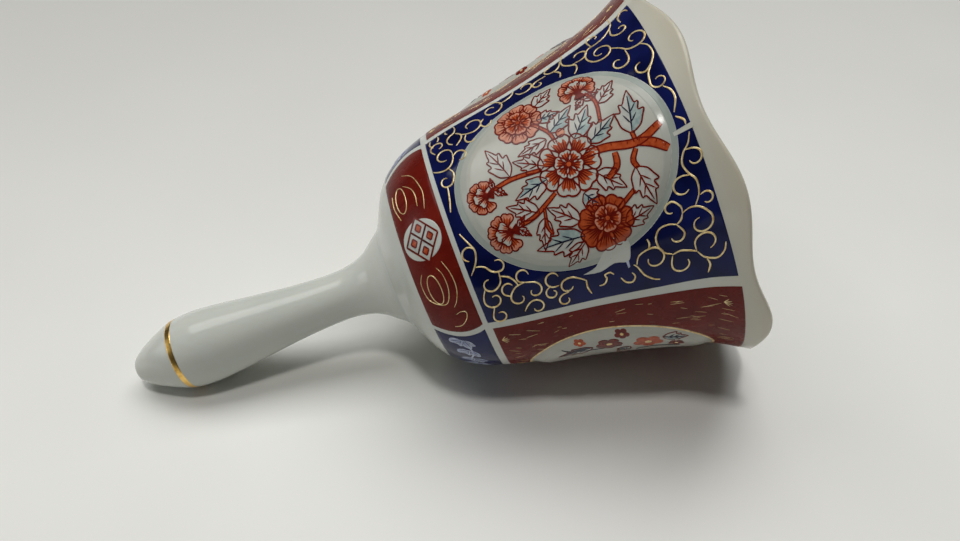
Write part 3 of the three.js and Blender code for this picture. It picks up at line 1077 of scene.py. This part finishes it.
def blue_band_ornament():
    """A pale spray on each side of the middle of the band: long leaves that fan out of a curl."""
    for hand in (-1, 1):
        for (x, angle), fan in FANS:
            base = (x, arc(x, angle * hand))
            for k, lean in enumerate(fan):
                size = 2.8 if k % 2 else 3.4
                tip = (base[0] + size * math.sin(lean), base[1] - hand * size * math.cos(lean))
                pale_leaf(base, tip)
        stem = [(79.6, 3 * hand), (78.4, 12 * hand), (79.6, 22 * hand), (78.4, 33 * hand)]
        stroke(washed_blue, degrees_out(stem), 0.4)
        start, centre = degrees_out([(76.6, 34.5 * hand), (77.6, 32 * hand)])
        stroke(washed_blue, curl(start, centre, 0.85 * hand, 0.4), 0.5)
    middle = degrees_out([(79.2, 0)])[0]
    for at in circle(6):
        disc(washed_blue, polar(middle, 1.7, at), 1.0, sides=14)
    disc(cobalt, middle, 0.7, LINE_LIFT, 12)


def pale_leaf(base, tip):
    outline = laid(base, tip, 1, [
        (0, 0), (0.25, 0.26), (0.55, 0.34), (0.85, 0.2), (1, 0), (0.8, -0.16), (0.5, -0.28),
        (0.2, -0.2)])
    blob(washed_blue, smooth([*outline, outline[0]], 3)[:-1])
    for side in (-0.09, 0.09):
        stroke(cobalt, laid(base, tip, 1, [(0.1, side), (0.8, side)]), 0.13)


# ---- ornament of the red panels

GOLD_DASHES = 220


def red_panel_ornament(draw):
    """A gold-rimmed medallion of plum blossom, and short gold brush strokes on the red."""
    half_length, half_width, _ = SMALL_MEDALLION
    rim = ellipse((MEDALLION_Z, 0), half_length, half_width, 40)
    stroke(gold, rim, 0.55, FILL_LIFT, 1.0, closed=True)
    for _ in range(GOLD_DASHES):
        x = draw.uniform(87, 133)
        reach = edge_reach(BRICK_EDGE, x) - 1.2
        y = draw.uniform(-reach, reach)
        if math.hypot((x - MEDALLION_Z) / (half_length + 1.6), y / (half_width + 1.6)) < 1:
            continue
        length, lean = draw.uniform(0.8, 3.2), draw.uniform(-0.5, 0.5)
        end = polar((x, y), length, lean)
        if end[0] < 133.5:
            stroke(gold, [(x, y), end], 0.11, FILL_LIFT, 0.2)
    for x, angle in ((86.6, -31), (131, -33), (86.6, 31), (131, 33)):
        heart = (x, arc(x, angle))
        for k in range(5):
            stroke(gold, [heart, polar(heart, 1.5, -0.9 + 0.45 * k)], 0.16, FILL_LIFT, 0.3)
    for hand in (-1, 1):
        for fill, x, y, radius in (
                (deep_red, 107.5, 8.2, 2.9), (orange, 115.5, 7.4, 3.2), (deep_red, 121.2, 5.2, 1.7),
                (deep_red, 110.5, 12.2, 1.6), (orange, 101.6, 10.4, 1.3)):
            plum(fill, (x, y * hand), radius)
        leaf((104, 7.4 * hand), (96.5, 4.6 * hand), 0.26, ink)
        leaf((118.5, 9.6 * hand), (123.8, 8.2 * hand), 0.3, teal)
        leaf((111.5, 5 * hand), (109, 1.2 * hand), 0.34, teal)
        stroke(ink, [(97.5, 8 * hand), (101, 6.2 * hand), (105, 5.8 * hand), (110, 6.5 * hand)], 0.5)
        stroke(ink, [(113, 2 * hand), (117, 3.6 * hand), (122, 2.6 * hand)], 0.45)


def plum(fill, centre, radius):
    for at in circle(5):
        disc(fill, polar(centre, radius * 0.58, at + 0.3), radius * 0.42, LINE_LIFT, 14)
    disc(gold, centre, radius * 0.24, GOLD_LIFT, 10)


def worn_spots():
    """Where the glaze of one cobalt panel was missed or has chipped, down to the white."""
    Paint.turn = COBALT_TURNS[1]
    blob(white, [(130.8, 1.7), (134.5, 1.5), (134.5, 2.6), (130.8, 2.5)], LINE_LIFT)
    scuff = [(106.5, 20.3), (109.5, 19.6), (111.8, 17.0), (114, 16.4), (117, 16.8), (116.8, 19.5),
             (115.8, 21.2), (113.2, 20.4), (110, 21.1)]
    blob(white, smooth([*scuff, scuff[0]], 3)[:-1], LINE_LIFT)
    blob(washed_blue, [(115.3, 20.9), (115.9, 20.8), (115.8, 22.4), (115.4, 22.5)], LINE_LIFT)


def ornament():
    draw = random.Random(7)
    for Paint.turn in COBALT_TURNS:
        panel_scrolls()
        spray()
        red_band_ornament()
    for Paint.turn in BRICK_TURNS:
        red_panel_ornament(draw)
        blue_band_ornament()
    worn_spots()


# ---- camera, floor and light

def camera():
    """Looks down on the near side of the bell, as high above it as the photographer stood."""
    data = bpy.data.cameras.new("camera")
    data.lens = 34.9
    data.sensor_width = 36
    data.clip_start = 0.005
    made = add_object("camera", data)
    place = (-0.02231, -0.14290, 0.18388)
    right = Vector((0.97385, -0.22717, 0))
    down = Vector((-0.16966, -0.72731, -0.66501))
    ahead = Vector((0.15107, 0.64762, -0.74683))
    attitude = Matrix((right, -down, -ahead)).transposed().to_4x4()
    made.matrix_world = Matrix.Translation(place) @ attitude
    bpy.context.scene.camera = made


BACKDROP = (0.56, 0.56, 0.54, 1)     # the pale paper far from the lamps: the colour of the backdrop and of the painted glow of the far floor
FAR_GLOW = 0.9


def floor():
    """Pale paper with painted shade that darkens it away from the camera and, far out, a painted glow
    like the backdrop.
    """
    made = Material("floor_paper", 0.55)
    mottle = made.ramp(made.noise(90, 3), (0.35, (240, 240, 235)), (0.65, (244, 244, 240)))
    away = made.node("SeparateXYZ", {"Vector": made.place}, "Y")
    reach = made.node("VectorMath", {0: made.place}, "Value", operation="LENGTH")
    made.surface({
        # painted shade: the colour darkens towards the far side, for the light that falls off away
        # from the lamps
        "Base Color": made.mix(made.level(away, 0, 1, -0.02, 0.40), mottle, srgb(164, 163, 158)),
        "Normal": made.bump(1.2, 4, 0.02),
        # painted light: far out the floor glows like a lamp, lighting the undersides of the bell
        "Emission Color": BACKDROP,
        "Emission Strength": made.level(
            reach, 0, FAR_GLOW, 0.42, 1.2, interpolation_type="SMOOTHSTEP"),
    })
    mesh = bpy.data.meshes.new("floor")
    far = 3.0
    corners = [(-far, -far, 0), (far, -far, 0), (far, far, 0), (-far, far, 0)]
    mesh.from_pydata(corners, [], [(0, 1, 2, 3)])
    mesh.materials.append(made.material)
    piece = add_object("floor", mesh)


def softbox(name, place, target, size, power, colour):
    data = bpy.data.lights.new(name, "AREA")
    data.shape = "RECTANGLE"
    data.size, data.size_y = size
    data.energy = power
    data.color = colour
    made = add_object(name, data)
    made.location = place
    made.rotation_euler = (Vector(target) - Vector(place)).to_track_quat("-Z", "Y").to_euler()


def lights():
    """Three softboxes, and a dim world that the camera sees as the backdrop."""
    world = bpy.data.worlds.new("studio")
    bpy.context.scene.world = world
    world.use_nodes = True
    tree = world.node_tree
    dim = tree.nodes["Background"]
    feed(tree, dim, {"Color": (0.97, 0.98, 1.0, 1), "Strength": 0.03})
    backdrop = new_node(tree, "Background", {"Color": BACKDROP})
    seen = new_node(tree, "LightPath", {}, "Is Camera Ray")
    choice = new_node(tree, "MixShader", {0: seen, 1: dim.outputs[0], 2: backdrop})
    feed(tree, tree.nodes["World Output"], {"Surface": choice})
    softbox("lamp_above", (-0.04, -0.16, 0.98), (0.02, 0, 0), (0.10, 0.10), 2.1, (1, 0.98, 0.95))
    softbox("broad_ceiling", (0, 0.42, 1.0), (0, 0.02, 0), (1.5, 0.6), 9.2, (1, 1, 0.99))
    softbox("window_left", (-0.9, 0.1, 0.3), (-0.05, 0, 0), (0.5, 0.3), 0.8, (0.97, 0.98, 1))


bpy.context.scene.view_settings.view_transform = "Standard"
camera()
floor()
lights()
bell_body()
handle()
handle_band()
washers()
split_pin()
chain_links()
clapper_pin()
clapper_bead()
fields()
ornament()
for paint in PAINTS:
    paint.build()
